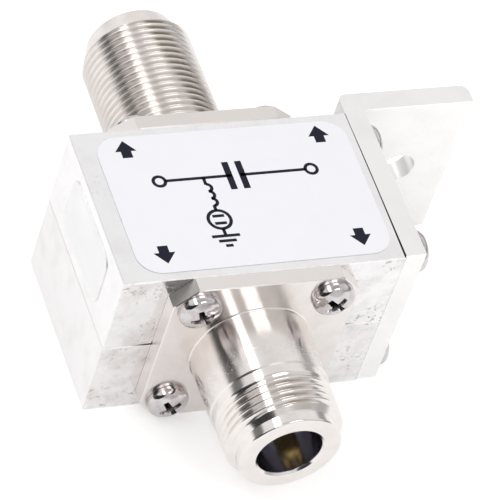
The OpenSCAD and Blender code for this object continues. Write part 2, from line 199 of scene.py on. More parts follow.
# Front wear and painted light: the front faces are scuffed and smeared, and a bright line below their upper
# edge is battered metal and painted highlight.
# Black painted shade lies on the top in a wedge along the front half of the bracket, and in the front seam
# by the flange.
BATTERED_AND_HIGHLIGHT_FALL = (-0.00035, -0.00015)
WEDGE_SLOPE = 0.014
WEDGE_EDGE = (0.01913, 0.01921)
SEAM_SHADE_HALF = 0.00016
SEAM_SHADE_FADE = (0.0160, 0.0130)
front_wear_and_light, given, result = new_group(
    "front wear and painted light", {"Vector": "Vector", "Edge": "Float"},
    {"Scuffs": "Float", "Smear": "Float", "Nicks and highlight": "Float", "Painted shade": "Float"})
tree = front_wear_and_light
toward = face_direction(tree)
spot = components(tree, place_on_object(tree))
facing = ramp(tree, toward["Y"], -0.6, -0.9)
patches = ramp(tree, noise(tree, given["Vector"], scale=210.0, detail=3.0, roughness=0.6), 0.45, 0.6)
scrapes = ramp(tree, noise(tree, given["Vector"], scale=1500.0, detail=4.0, roughness=0.65), 0.54, 0.66)
smear = ramp(tree, noise(tree, given["Vector"], scale=260.0, detail=5.0, roughness=0.65), 0.42, 0.7)
# Just under the upper edge of the front faces a bright line is painted: battered metal and a painted
# highlight.
below_edge = ramp(tree, sums(tree, "SUBTRACT", spot["Z"], given["Edge"]), *BATTERED_AND_HIGHLIGHT_FALL)
battered_and_highlight = ramp(tree, noise(tree, given["Vector"], scale=1200.0, detail=3.0, roughness=0.6), 0.36, 0.5)
wedge = sums(tree, "SUBTRACT", spot["X"], product(tree, spot["Y"], WEDGE_SLOPE))
on_housing = sums(tree, "LESS_THAN", spot["X"], PAST_SIDE_X)
# Painted shade on the top, in the crevice along the bracket.
beside_bracket = product(tree, ramp(tree, wedge, *WEDGE_EDGE), on_housing, ramp(tree, toward["Z"], 0.6, 0.9))
from_seam = sums(tree, "ABSOLUTE", sums(tree, "SUBTRACT", spot["Z"], SEAM_Z))
at_seam = sums(tree, "LESS_THAN", from_seam, SEAM_SHADE_HALF)
by_flange = ramp(tree, sums(tree, "ABSOLUTE", spot["X"]), *SEAM_SHADE_FADE)
# Painted shade in the front seam just beside the flange.
in_seam = product(tree, by_flange, at_seam, ramp(tree, toward["Y"], -0.3, -0.6))
tree.links.new(product(tree, facing, product(tree, patches, scrapes)), result["Scuffs"])
tree.links.new(product(tree, facing, smear), result["Smear"])
tree.links.new(product(tree, facing, below_edge, battered_and_highlight), result["Nicks and highlight"])
tree.links.new(sums(tree, "MAXIMUM", beside_bracket, in_seam), result["Painted shade"])


def aluminium(name, clean, worn, roughness, streak, shift, amount, edge):
    """Milled aluminium: streaked bright metal with smudges, pits, bright nicks with a painted highlight, and
    black painted shade along the edges beside the bracket.

    Its streaks run along the axis where streak is smallest, amount scales its wear, and edge is the height
    of the upper edge under which the bright line of battered metal and painted highlight runs.
    """
    smear_colour = (0.60, 0.555, 0.53, 1.0)
    pit_colour = (0.36, 0.34, 0.33, 1.0)
    # Near-white of the nicks and the painted highlight.
    nick_and_highlight_colour = (0.97, 0.97, 0.98, 1.0)
    # Colour of the painted shade in the crevices beside the bracket and the flange.
    painted_shade_colour = (0.03, 0.028, 0.026, 1.0)
    mark_depth = 0.00002
    material, tree, shader = new_material(name, Metallic=1.0, IOR=1.45)
    place = place_on_object(tree, shift=shift)
    marks = use_group(tree, cutter_marks, {"Vector": place_on_object(tree, streak, shift)})
    wear = use_group(tree, handling_marks, {"Vector": place, "Amount": 0.3 * amount})
    edges = use_group(tree, edge_marks_and_light, {"Vector": place})
    front = use_group(tree, front_wear_and_light, {"Vector": place, "Edge": edge})
    pits = sums(tree, "MAXIMUM", wear["Pits"], product(tree, front["Scuffs"], amount))
    nicks_and_highlight = sums(tree, "MAXIMUM", edges["Nicks and highlight"], front["Nicks and highlight"])
    painted_shade = sums(tree, "MAXIMUM", edges["Painted shade"], front["Painted shade"])
    colour = blend_colours(tree, product(tree, wear["Smudge"], 0.7), clean, worn)
    colour = blend_colours(tree, product(tree, front["Smear"], 0.55 * amount), colour, smear_colour)
    colour = blend_colours(tree, product(tree, pits, 0.7), colour, pit_colour)
    # Near-white nicks and painted highlight along the front edges.
    colour = blend_colours(tree, nicks_and_highlight, colour, nick_and_highlight_colour)
    # Black painted shade beside the bracket and in the seam by the flange.
    colour = blend_colours(tree, painted_shade, colour, painted_shade_colour)
    gloss = sums(tree, "ADD", roughness - 0.05, product(tree, marks["Height"], 0.1))
    gloss = sums(tree, "ADD", gloss, product(tree, wear["Smudge"], 0.06))
    gloss = sums(tree, "ADD", gloss, product(tree, edges["Edge"], 0.35), clamp=True)
    height = sums(tree, "SUBTRACT", product(tree, marks["Height"], 0.3), pits)
    finish_material(tree, shader, colour, gloss, height, mark_depth)
    return material


ALONG_X = (0.12, 1.0, 1.0)
dress("upper_housing", aluminium("upper housing aluminium", clean=(0.87, 0.86, 0.86, 1),
                                 worn=(0.80, 0.785, 0.785, 1), roughness=0.17, streak=ALONG_X,
                                 shift=(0.0, 0.0, 0.0), amount=1.0, edge=TOP_Z))
dress("lower_housing", aluminium("lower housing aluminium", clean=(0.855, 0.84, 0.84, 1),
                                 worn=(0.78, 0.755, 0.745, 1), roughness=0.2, streak=ALONG_X,
                                 shift=(0.31, 0.17, 0.23), amount=1.0, edge=SEAM_Z))

# Equipment jack
# A brass shell turned and milled in one piece and nickel plated: square flange, plain barrel,
# thread and nose. A plastic insulator carries the gilt socket contact, and four screws hold the flange.
EQUIPMENT_END = -1
END_Y = 0.01245
AXIS_Z = SEAM_Z
END_WALL = 0.0034
FLANGE_HALF = 0.0127
FLANGE_CORNER = 0.0029
FLANGE_THICKNESS = 0.0022
FLANGE_EDGE = 0.00012
FLANGE_STEPS = 8
RIM_GUARD = 0.03
SCREW_HALF = 0.00912
SCREW_HOLE = 0.00162
BARREL_RADIUS = 0.0079375
BARREL_FILLET = 0.00022
THREAD_PITCH = 0.001058
THREAD_DEPTH = 0.00058
THREAD_STEP = 0.0002
THREAD_RUN_IN = 0.0011
THREAD_ROWS = 20
NOSE_ROUND = 0.0003
SOCKET_RADIUS = 0.0043
SOCKET_DEPTH = 0.0092
MOUTH_CHAMFER = 0.0003
MOUTH_ROUND = 0.0001
BORE_RADIUS = 0.00355
COLLAR_RADIUS = 0.00455
COLLAR_LENGTH = 0.0024
PILOT_RADIUS = 0.0058
ROUND_COLUMNS = 128
SMOOTH_ANGLE = np.radians(35)
WELD_GAP = 2e-7


def new_piece(name, points, faces, material, dirt_and_shade=None):
    """Makes one object from points and faces, welds its seams, turns it outward and lets it ride."""
    mesh = bpy.data.meshes.new(name)
    mesh.from_pydata(points.tolist(), [], faces.tolist())
    if dirt_and_shade is not None:
        mesh.attributes.new("dirt_and_shade", "FLOAT", "POINT").data.foreach_set("value", dirt_and_shade)
    work = bmesh.new()
    work.from_mesh(mesh)
    bmesh.ops.remove_doubles(work, verts=work.verts, dist=WELD_GAP)
    bmesh.ops.recalc_face_normals(work, faces=work.faces)
    work.to_mesh(mesh)
    work.free()
    mesh.polygons.foreach_set("use_smooth", np.ones(len(mesh.polygons), bool))
    mesh.set_sharp_from_angle(angle=SMOOTH_ANGLE)
    mesh.materials.append(material)
    piece = bpy.data.objects.new(name, mesh)
    bpy.context.scene.collection.objects.link(piece)
    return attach(piece, "root")


def grid_faces(rows, columns, closed):
    """Quads between neighbouring rows of a grid, joined round the last column where it is closed."""
    row, column = np.meshgrid(np.arange(rows - 1), np.arange(columns if closed else columns - 1),
                              indexing="ij")
    beside = (column + 1) % columns
    corners = [row * columns + column, row * columns + beside,
               (row + 1) * columns + beside, (row + 1) * columns + column]
    return np.stack(corners, -1).reshape(-1, 4)


def join_grids(grids):
    """Stacks (points, closed) grids into one list of points and one list of quads."""
    points, faces, count = [], [], 0
    for grid, closed in grids:
        rows, columns = grid.shape[:2]
        points.append(grid.reshape(-1, 3))
        faces.append(grid_faces(rows, columns, closed) + count)
        count += rows * columns
    return np.vstack(points), np.vstack(faces)


def round_corner(before, corner, after, radius, steps=6):
    """Arc of the given radius that touches both sides of a corner, from one side to the other."""
    before, corner, after = (np.array(point, float) for point in (before, corner, after))
    one = (before - corner) / np.linalg.norm(before - corner)
    two = (after - corner) / np.linalg.norm(after - corner)
    half = np.arccos(np.clip(one @ two, -1, 1)) / 2
    middle = (one + two) / np.linalg.norm(one + two)
    centre = corner + middle * radius / np.sin(half)
    start = corner + one * radius / np.tan(half) - centre
    end = corner + two * radius / np.tan(half) - centre
    share = np.linspace(0, 1, steps)[:, None]
    arc = start * (1 - share) + end * share
    return centre + arc * radius / np.linalg.norm(arc, axis=1)[:, None]


def firm(profile):
    """Adds points beside both ends of each long segment, so that smooth shading stays in the corners."""
    beside = 0.00003
    shortest = 8 * beside
    rows = [profile[:1]]
    for start, end in zip(profile[:-1], profile[1:]):
        length = np.linalg.norm(end - start)
        if length > shortest:
            step = (end - start) * beside / length
            rows.append(np.array([start + step, end - step]))
        rows.append(end[None])
    return np.vstack(rows)


def thread_radius(height, angle, radius, depth, pitch):
    """Radius of a thread: a cosine wave along its length that advances by one pitch in a turn."""
    phase = 2 * np.pi * height / pitch - angle
    return radius - depth * (0.5 - 0.5 * np.cos(phase))


def turned_rows(profile, angle):
    """Rings of radius and height, one for each point of a profile, as (radius, height) grids."""
    radius = np.repeat(profile[:, :1], len(angle), 1)
    height = np.repeat(profile[:, 1:], len(angle), 1)
    return radius, height


def shell_barrel(reach, plain, nose, nose_radius, tip_radius):
    """Turned part of a shell: a profile of (radius, height) spun about Z.

    Its thread is a wave that climbs one pitch in a turn, grows from the plain part and ends on a cone.
    """
    angle = np.arange(ROUND_COLUMNS) * 2 * np.pi / ROUND_COLUMNS
    foot = FLANGE_THICKNESS
    tip = foot + reach
    shoulder = tip - nose
    thread_start = foot + plain
    fillet = round_corner((BARREL_RADIUS + 1, foot), (BARREL_RADIUS, foot), (BARREL_RADIUS, 1),
                          BARREL_FILLET)
    crest = BARREL_RADIUS - THREAD_STEP
    step_end = thread_start + THREAD_STEP
    outside = firm(np.vstack([fillet, [[BARREL_RADIUS, thread_start], [crest, step_end]]]))
    thread_height = np.arange(step_end, shoulder, THREAD_PITCH / THREAD_ROWS)[1:, None]
    fade = np.clip((thread_height - step_end - THREAD_RUN_IN) / THREAD_PITCH, 0, 1)
    thread = thread_radius(thread_height, angle, crest, THREAD_DEPTH * fade, THREAD_PITCH)
    thread = np.minimum(thread, nose_radius + shoulder - thread_height)
    nose_edge = round_corner((nose_radius, shoulder), (tip_radius, tip), (0, tip), NOSE_ROUND)
    mouth = SOCKET_RADIUS + MOUTH_CHAMFER
    throat = tip - MOUTH_CHAMFER
    mouth_edge = round_corner((tip_radius, tip), (mouth, tip), (SOCKET_RADIUS, throat), MOUTH_ROUND)
    throat_edge = round_corner((mouth, tip), (SOCKET_RADIUS, throat), (SOCKET_RADIUS, 0), MOUTH_ROUND)
    socket_floor = tip - SOCKET_DEPTH
    collar_face = COLLAR_LENGTH - END_WALL
    bores = [[SOCKET_RADIUS, socket_floor], [BORE_RADIUS, socket_floor], [BORE_RADIUS, collar_face],
             [COLLAR_RADIUS, collar_face], [COLLAR_RADIUS, -END_WALL], [PILOT_RADIUS, -END_WALL],
             [PILOT_RADIUS, 0]]
    first = turned_rows(outside, angle)
    end = firm(np.vstack([[[nose_radius, shoulder]], nose_edge, mouth_edge, throat_edge, bores]))
    last = turned_rows(end, angle)
    radius = np.vstack([first[0], thread, last[0]])
    height = np.vstack([first[1], np.repeat(thread_height, len(angle), 1), last[1]])
    return np.stack([radius * np.cos(angle), radius * np.sin(angle), height], -1)


def quarter_edge(corner_drop, arc_radius, inset, height):
    """Edge of a quarter of the flange: along two sides and the cut corner, then back on an arc."""
    half = FLANGE_HALF - inset
    slant = np.hypot(corner_drop, FLANGE_CORNER)
    level = (corner_drop + FLANGE_CORNER) * FLANGE_HALF - corner_drop * FLANGE_CORNER - inset * slant
    corners = np.array([[half, 0], [half, (level - corner_drop * half) / FLANGE_CORNER],
                        [(level - FLANGE_CORNER * half) / corner_drop, half], [0, half]])
    share = np.linspace(0, 1, FLANGE_STEPS + 1)[:-1, None]
    sides = [a * (1 - share) + b * share for a, b in zip(corners[:-1], corners[1:])]
    turn = np.linspace(np.pi / 2, 0, ROUND_COLUMNS // 4 + 1)
    arc = arc_radius * np.stack([np.cos(turn), np.sin(turn)], 1)
    outline = np.vstack([*sides, corners[-1:], arc])
    return np.column_stack([outline, np.full(len(outline), height)])


def flange_quarters(corner_drop):
    """Square plate with cut corners: loops from each screw hole out to its quarter's edge, and the sides."""
    hole = np.array([SCREW_HALF, SCREW_HALF, 0])
    straight = 3 * FLANGE_STEPS + 1
    front_arc = BARREL_RADIUS + BARREL_FILLET
    front = quarter_edge(corner_drop, front_arc, FLANGE_EDGE, FLANGE_THICKNESS)
    back = quarter_edge(corner_drop, PILOT_RADIUS, FLANGE_EDGE, 0)
    loops = []
    for edge in (back, front):
        away = (edge - hole) * [1, 1, 0]
        rim = hole + SCREW_HOLE * away / np.linalg.norm(away, axis=1)[:, None] + edge * [0, 0, 1]
        loops.append([edge, edge * (1 - RIM_GUARD) + rim * RIM_GUARD, rim])
    face = np.stack(loops[0] + loops[1][::-1])
    walls = [quarter_edge(corner_drop, front_arc, 0, height)
             for height in (FLANGE_THICKNESS - FLANGE_EDGE, FLANGE_EDGE)]
    side = np.stack([front, *walls, back])[:, :straight]
    mirrors = [(x, y, 1) for x in (1, -1) for y in (1, -1)]
    return [(part * mirror, closed) for mirror in mirrors for part, closed in ((face, True), (side, False))]


def at_jack_end(points, end):
    """Turns points drawn outward along Z to the equipment end (-1) or the antenna end (1)."""
    return np.column_stack([points[:, 0], end * (END_Y + points[:, 2]), AXIS_Z + points[:, 1]])


# Plated nickel: where its finishes and the painted shade in its socket begin and end, along the axis or out
# from it, and how its band of dirt and painted dark reflection fades. Its reflections smear along the axis
# and lean a little outward.
FLANGE_START = (BARREL_RADIUS + 0.0001, BARREL_RADIUS + 0.0003)
SOCKET_WALL = (SOCKET_RADIUS + 0.0001, SOCKET_RADIUS)
GROOVE_TOP = (BARREL_RADIUS - 0.0003, BARREL_RADIUS - 0.0006)
GROOVE_FLOOR = (0.0069, 0.00695)
BACK_THREAD_END = (0.0362, 0.0360)
RUBBED_FRONT = (-0.0228, -0.0218)
RUBBED_BACK = (-0.0192, -0.0202)
FINE_TURNED = (-0.0240, -0.0250)
DIRT_AND_REFLECTION_BAND = (0.10, 0.30)
SMEAR_AXIS = (0.0, 1.0, 0.0)
SMEAR_LEAN = (0.3, 0.3, 0.3)


def plated_nickel(name, dullness, dirt_and_shade, dirt_and_reflection_slant, dirt_and_reflection_middle):
    """Warm nickel whose turning lines smear reflections along the axis, satin on the flange's milled sides.

    Dirt lies in the thread's grooves in a band that slants round the barrel, and hardly at all beside it;
    the band also paints a dark reflection. The socket's wall is painted darker and bluer, as shade.
    """
    clean_colour = (0.815, 0.77, 0.745, 1)
    hazy_colour = (0.775, 0.73, 0.70, 1)
    pit_colour = (0.42, 0.38, 0.35, 1)
    scratch_colour = (0.95, 0.94, 0.93, 1)
    milled_colour = (0.84, 0.795, 0.765, 1)
    # The socket's wall is painted darker and bluer: painted shade deep in the socket.
    socket_shade_colour = (0.50, 0.49, 0.55, 1)
    dirt_and_reflection_colour = (0.25, 0.20, 0.14, 1)
    mark_depth = 0.000003
    material, tree, shader = new_material(name, Metallic=1.0, IOR=1.45, Anisotropic=0.88)
    place = place_on_object(tree)
    radial = place_on_object(tree, (1.0, 0.0, 1.0), (0, 0, -AXIS_Z))
    outward = add_node(tree, "ShaderNodeVectorMath", {0: radial}, operation="NORMALIZE").outputs["Vector"]
    smear = add_node(tree, "ShaderNodeVectorMath", {0: outward, 1: SMEAR_LEAN, 2: SMEAR_AXIS},
                     operation="MULTIPLY_ADD").outputs["Vector"]
    tree.links.new(smear, shader.inputs["Tangent"])
    from_axis = add_node(tree, "ShaderNodeVectorMath", {0: radial}, operation="LENGTH").outputs["Value"]
    along = components(tree, place)["Y"]
    facing_end = sums(tree, "ABSOLUTE", face_direction(tree)["Y"])
    milled = product(tree, ramp(tree, from_axis, *FLANGE_START), ramp(tree, facing_end, 0.8, 0.6))
    socket_shaded = ramp(tree, from_axis, *SOCKET_WALL)
    groove = product(tree, ramp(tree, from_axis, *GROOVE_TOP), ramp(tree, from_axis, *GROOVE_FLOOR),
                     ramp(tree, along, *BACK_THREAD_END))
    rubbed = product(tree, ramp(tree, along, *RUBBED_FRONT), ramp(tree, along, *RUBBED_BACK))
    scrapes = ramp(tree, noise(tree, place, scale=1700.0, detail=4.0, roughness=0.7), 0.56, 0.64)
    scratches = product(tree, rubbed, scrapes)
    lines = noise(tree, place_on_object(tree, (0.05, 1.0, 0.05)), scale=9000.0, detail=2.0)
    haze = noise(tree, place, scale=420.0, detail=4.0, roughness=0.6)
    wear = use_group(tree, handling_marks, {"Vector": place, "Amount": 0.4})
    # A slanting band round the barrel where the grooves are painted dark: dirt together with a painted dark
    # reflection.
    slanted = sums(tree, "ADD", components(tree, outward)["X"], product(tree, along, dirt_and_reflection_slant))
    off_band = sums(tree, "ABSOLUTE", sums(tree, "SUBTRACT", slanted, dirt_and_reflection_middle))
    dirt_and_reflection = product(tree, groove, ramp(tree, off_band, *DIRT_AND_REFLECTION_BAND, dirt_and_shade, 0.1 * dirt_and_shade))
    colour = blend_colours(tree, ramp(tree, haze, 0.35, 0.7), clean_colour, hazy_colour)
    colour = blend_colours(tree, product(tree, wear["Pits"], 0.5), colour, pit_colour)
    colour = blend_colours(tree, scratches, colour, scratch_colour)
    colour = blend_colours(tree, milled, colour, milled_colour)
    # Painted shade on the socket's wall.
    colour = blend_colours(tree, socket_shaded, colour, socket_shade_colour)
    colour = blend_colours(tree, dirt_and_reflection, colour, dirt_and_reflection_colour)
    gloss = sums(tree, "ADD", dullness, product(tree, haze, 0.06))
    gloss = sums(tree, "ADD", gloss, product(tree, milled, 0.12))
    gloss = sums(tree, "SUBTRACT", gloss, ramp(tree, along, *FINE_TURNED, 0.0, 0.05))
    gloss = sums(tree, "ADD", gloss, product(tree, scratches, 0.25))
    gloss = sums(tree, "ADD", gloss, product(tree, socket_shaded, 0.02))
    height = sums(tree, "SUBTRACT", product(tree, lines, 0.5), wear["Pits"])
    finish_material(tree, shader, colour, gloss, height, mark_depth)
    return material


def jack_shell(name, node, end, material, corner_drop, **barrel_sizes):
    """One jack shell: its turned part and its flange welded into one closed mesh."""
    points, faces = join_grids([(shell_barrel(**barrel_sizes), True), *flange_quarters(corner_drop)])
    piece = new_piece(name, at_jack_end(points, end), faces, material)
    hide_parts(node)


nickel = plated_nickel("bright nickel", dullness=0.16, dirt_and_shade=0.4, dirt_and_reflection_slant=0.0, dirt_and_reflection_middle=0.05)
jack_shell("equipment_jack_shell", "equipment_shell", EQUIPMENT_END, nickel, corner_drop=0.0029,
           reach=0.017, plain=0.0085, nose=0.0015, nose_radius=0.0068, tip_radius=0.0068)

# Insulator plastic: waxy white with a faint cloudiness.
PLASTIC_LIGHT = (0.86, 0.86, 0.84, 1)
PLASTIC_DARK = (0.78, 0.78, 0.75, 1)
plastic, tree, shader = new_material("insulator plastic", IOR=1.36)
place = place_on_object(tree)
cloud = noise(tree, place, scale=600.0, detail=3.0)
colour = blend_colours(tree, cloud, PLASTIC_LIGHT, PLASTIC_DARK)
finish_material(tree, shader, colour, ramp(tree, cloud, 0.2, 0.8, 0.4, 0.55), cloud, depth=0.00001)

# Gilt contact metal: warm yellow plating with turning lines and a little brown tarnish.
GILT_CLEAN = (0.88, 0.62, 0.20, 1)
GILT_BROWN = (0.62, 0.41, 0.12, 1)
gilt, tree, shader = new_material("gilt contact", Metallic=1.0, IOR=1.45)
place = place_on_object(tree)
tarnish = noise(tree, place, scale=700.0, detail=4.0, roughness=0.6)
lines = noise(tree, place_on_object(tree, (0.1, 1.0, 0.1)), scale=9000.0, detail=2.0)
colour = blend_colours(tree, ramp(tree, tarnish, 0.4, 0.75), GILT_CLEAN, GILT_BROWN)
finish_material(tree, shader, colour, ramp(tree, tarnish, 0.3, 0.7, 0.16, 0.3), lines, depth=0.000004)

dress("equipment_insulator", plastic)
dress("equipment_contact", gilt)

# Flange screws: polished steel pan heads with a cross recess.
HEAD_RADIUS = 0.0028
HEAD_HEIGHT = 0.0019
HEAD_DOME = 0.0042
RIM_ROUND = 0.0011
RIM_ARC = 0.88 * RIM_ROUND
RIM_DROP = 1.2 * RIM_ROUND
RIM_STEPS = 10
SEAT_EDGE = 0.00008
RECESS_DEPTH = 0.0013
RECESS_TOP = (0.00044, 0.00155)
RECESS_FLOOR = (0.0002, 0.0007)
GRID_STEPS = 5
SHANK_RADIUS = 0.00142
SCREW_PITCH = 0.0254 / 40
SCREW_DEPTH = 0.00036
SCREW_ROWS = 6
SCREW_GRIP = 0.0056
POINT_LENGTH = 0.0005


def recess_wing(along, across):
    """Depth share of one pair of wings: full on its floor, falling evenly to nothing at its top edge."""
    width = (RECESS_TOP[0] - across) / (RECESS_TOP[0] - RECESS_FLOOR[0])
    length = (RECESS_TOP[1] - along) / (RECESS_TOP[1] - RECESS_FLOOR[1])
    return np.clip(np.minimum(width, length), 0, 1)


def screw_head_top():
    """Domed disc over a square grid whose lines lie along the cross, cut down in the recess.

    The second result is the share of the recess's depth at each point.
    """
    reach = HEAD_RADIUS - RIM_ROUND
    marks = [0, RECESS_FLOOR[0], RECESS_TOP[0], RECESS_FLOOR[1], RECESS_TOP[1], reach]
    spans = [np.linspace(a, b, GRID_STEPS) for a, b in zip(marks[:-1], marks[1:])]
    stops = np.unique(np.concatenate(spans))
    line = np.concatenate([-stops[:0:-1], stops]) / reach
    u, v = np.meshgrid(line, line, indexing="ij")
    x = reach * u * np.sqrt(1 - v * v / 2)
    y = reach * v * np.sqrt(1 - u * u / 2)
    dome = HEAD_HEIGHT - HEAD_DOME + np.sqrt(HEAD_DOME ** 2 - x * x - y * y)
    along, across = np.abs(u) * reach, np.abs(v) * reach
    cross = np.maximum(recess_wing(along, across), recess_wing(across, along))
    return np.stack([x, y, dome - cross * RECESS_DEPTH], -1), cross


def screw_mesh(clamped):
    """Head top, rounded rim, seat and threaded shank of one pan-head screw, with its seat at the origin.

    The third result is the painted shade and dirt at each point: the recess's share of depth, and none
    elsewhere.
    """
    top, cross = screw_head_top()
    rim = np.concatenate([top[0, :], top[1:, -1], top[-1, -2::-1], top[-2:0:-1, 0]])
    angle = np.arctan2(rim[:, 1], rim[:, 0])
    crown = rim[0, 2]
    side = (HEAD_RADIUS, crown - RIM_DROP)
    slope = (HEAD_RADIUS - RIM_ROUND / 2) / HEAD_DOME
    rim_edge = round_corner((HEAD_RADIUS - RIM_ROUND, crown), (HEAD_RADIUS, crown - slope * RIM_ROUND),
                            side, RIM_ARC, RIM_STEPS)
    seat = [side, (HEAD_RADIUS, SEAT_EDGE), (HEAD_RADIUS - SEAT_EDGE, 0), (SHANK_RADIUS, 0)]
    edge = firm(np.vstack([rim_edge, seat]))
    length = clamped + SCREW_GRIP
    shank_height = -np.arange(0, length - POINT_LENGTH, SCREW_PITCH / SCREW_ROWS)[1:, None]
    shank = thread_radius(shank_height, angle, SHANK_RADIUS, SCREW_DEPTH, SCREW_PITCH)
    core = SHANK_RADIUS - SCREW_DEPTH
    point = np.array([[core, POINT_LENGTH - length], [core / 2, -length], [0, -length]])
    upper = turned_rows(edge, angle)
    lower = turned_rows(point, angle)
    radius = np.vstack([upper[0], shank, lower[0]])
    height = np.vstack([upper[1], np.repeat(shank_height, len(angle), 1), lower[1]])
    turned = np.stack([radius * np.cos(angle), radius * np.sin(angle), height], -1)
    points, faces = join_grids([(top, False), (np.concatenate([rim[None], turned]), True)])
    # Painted shade and dirt: the recess's share of depth, stored on each point.
    dirt_and_shade = np.zeros(len(points))
    dirt_and_shade[:cross.size] = cross.ravel()
    return points, faces, dirt_and_shade


# Screw steel: bright, with a warmer haze in patches, and black painted shade with some dirt in the recess,
# darkest where it is deepest.
STEEL_CLEAN = (0.63, 0.605, 0.615, 1)
STEEL_HAZY = (0.50, 0.455, 0.44, 1)
STEEL_PIT = (0.36, 0.31, 0.26, 1)
RECESS_SHADE_AND_DIRT = (0.05, 0.045, 0.045, 1)
steel, tree, shader = new_material("polished screw steel", Metallic=1.0, IOR=1.45)
place = place_on_object(tree)
haze = noise(tree, place, scale=900.0, detail=4.0, roughness=0.6)
wear = use_group(tree, handling_marks, {"Vector": place, "Amount": 0.6})
colour = blend_colours(tree, ramp(tree, haze, 0.4, 0.7), STEEL_CLEAN, STEEL_HAZY)
colour = blend_colours(tree, product(tree, wear["Pits"], 0.6), colour, STEEL_PIT)
# The recess is painted black by its share of depth, as shade and dirt.
depth_share = add_node(tree, "ShaderNodeAttribute", attribute_name="dirt_and_shade").outputs["Fac"]
recess = ramp(tree, depth_share, 0.15, 0.75)
colour = blend_colours(tree, recess, colour, RECESS_SHADE_AND_DIRT)
gloss = sums(tree, "ADD", 0.05, product(tree, haze, 0.08))
gloss = sums(tree, "ADD", gloss, product(tree, recess, 0.3))
height = sums(tree, "SUBTRACT", haze, wear["Pits"])
finish_material(tree, shader, colour, gloss, height, depth=0.000004)


def screw_set(name, node, clamped, spots, turns, place_points):
    """Four screws as one piece: each is spun by its own turn, moved to its spot and placed on the object."""
    points, faces, dirt_and_shade = screw_mesh(clamped)
    all_points, all_faces = [], []
    for number, (spot, turn) in enumerate(zip(spots, turns)):
        spin = np.array([[np.cos(turn), np.sin(turn), 0], [-np.sin(turn), np.cos(turn), 0], [0, 0, 1]])
        all_points.append(points @ spin + spot)
        all_faces.append(faces + number * len(points))
    piece = new_piece(name, place_points(np.vstack(all_points)), np.vstack(all_faces), steel,
                      np.tile(dirt_and_shade, len(spots)))
    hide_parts(node)


flange_spots = [(x, z, FLANGE_THICKNESS) for z in (SCREW_HALF, -SCREW_HALF)
                for x in (-SCREW_HALF, SCREW_HALF)]
screw_set("equipment_jack_screws", "equipment_screws", FLANGE_THICKNESS, flange_spots,
          turns=np.radians([20, 50, 35, 75]),
          place_points=lambda points: at_jack_end(points, EQUIPMENT_END))

# Antenna jack
# The same kind of shell, duller from the weather: its barrel is longer and threaded from close to the
# flange, its nose tapers, and the corners of its flange are cut at a flatter angle.
ANTENNA_END = 1
dull_nickel = plated_nickel("weathered nickel", dullness=0.23, dirt_and_shade=0.85, dirt_and_reflection_slant=24.0, dirt_and_reflection_middle=0.97)
jack_shell("antenna_jack_shell", "antenna_shell", ANTENNA_END, dull_nickel, corner_drop=0.0021,
           reach=0.02435, plain=0.0014, nose=0.0028, nose_radius=0.0072, tip_radius=0.0061)
dress("antenna_insulator", plastic)
dress("antenna_contact", gilt)
screw_set("antenna_jack_screws", "antenna_screws", FLANGE_THICKNESS, flange_spots,
          turns=np.radians([65, 10, 40, 28]),
          place_points=lambda points: at_jack_end(points, ANTENNA_END))

# Series capacitor
# Two brass discs with solder hubs on the contacts' tails, and a white ceramic disc between them.
BRASS_CLEAN = (0.80, 0.66, 0.40, 1)
BRASS_BROWN = (0.62, 0.47, 0.24, 1)
CERAMIC_LIGHT = (0.88, 0.86, 0.82, 1)
CERAMIC_DARK = (0.80, 0.77, 0.73, 1)
brass, tree, shader = new_material("tinned brass", Metallic=1.0, IOR=1.45)
place = place_on_object(tree)
tone = noise(tree, place, scale=500.0, detail=4.0, roughness=0.6)
colour = blend_colours(tree, ramp(tree, tone, 0.35, 0.7), BRASS_CLEAN, BRASS_BROWN)
finish_material(tree, shader, colour, ramp(tree, tone, 0.3, 0.7, 0.2, 0.36), tone, depth=0.000006)

ceramic, tree, shader = new_material("white ceramic", IOR=1.6)
place = place_on_object(tree)
grain = noise(tree, place, scale=3500.0, detail=3.0)
colour = blend_colours(tree, grain, CERAMIC_LIGHT, CERAMIC_DARK)
finish_material(tree, shader, colour, ramp(tree, grain, 0.2, 0.8, 0.3, 0.45), grain, depth=0.000008)

dress("equipment_plate", brass)
dress("antenna_plate", brass)
dress("capacitor_dielectric", ceramic)

# Drain coil
# A flat copper spiral, cut from sheet, from the antenna side's hub to the gas tube.
COPPER_CLEAN = (0.90, 0.52, 0.34, 1)
COPPER_BROWN = (0.55, 0.27, 0.16, 1)
copper, tree, shader = new_material("coil copper", Metallic=1.0, IOR=1.45)
place = place_on_object(tree)
tone = noise(tree, place, scale=800.0, detail=4.0, roughness=0.6)
colour = blend_colours(tree, ramp(tree, tone, 0.4, 0.75), COPPER_CLEAN, COPPER_BROWN)
finish_material(tree, shader, colour, ramp(tree, tone, 0.3, 0.7, 0.22, 0.4), tone, depth=0.000006)
dress("drain_coil", copper)

# Gas tube
# A ceramic ring closed by two nickel caps whose electrodes face each other across the spark gap.
dress("tube_line_cap", nickel)
dress("tube_ground_cap", nickel)
dress("tube_ceramic", ceramic)

# Mounting bracket
# A length of extruded aluminium angle, sawn off and drilled, with drawing lines along its length.
# Four screws hold its side leg on the housing.
BRACKET_THICKNESS = 0.0029
BRACKET_SCREW_RISE = 0.0096
ALONG_Z = (1.0, 1.0, 0.06)
dress("mounting_bracket", aluminium("bracket aluminium", clean=(0.90, 0.89, 0.88, 1),
                                    worn=(0.86, 0.85, 0.84, 1), roughness=0.3, streak=ALONG_Z,
                                    shift=(0.57, 0.41, 0.13), amount=0.08, edge=TOP_Z))


def at_bracket_side(points):
    """Turns points drawn outward along Z to the bracket side of the housing."""
    return np.column_stack([SIDE_X + points[:, 2], points[:, 1], AXIS_Z - points[:, 0]])


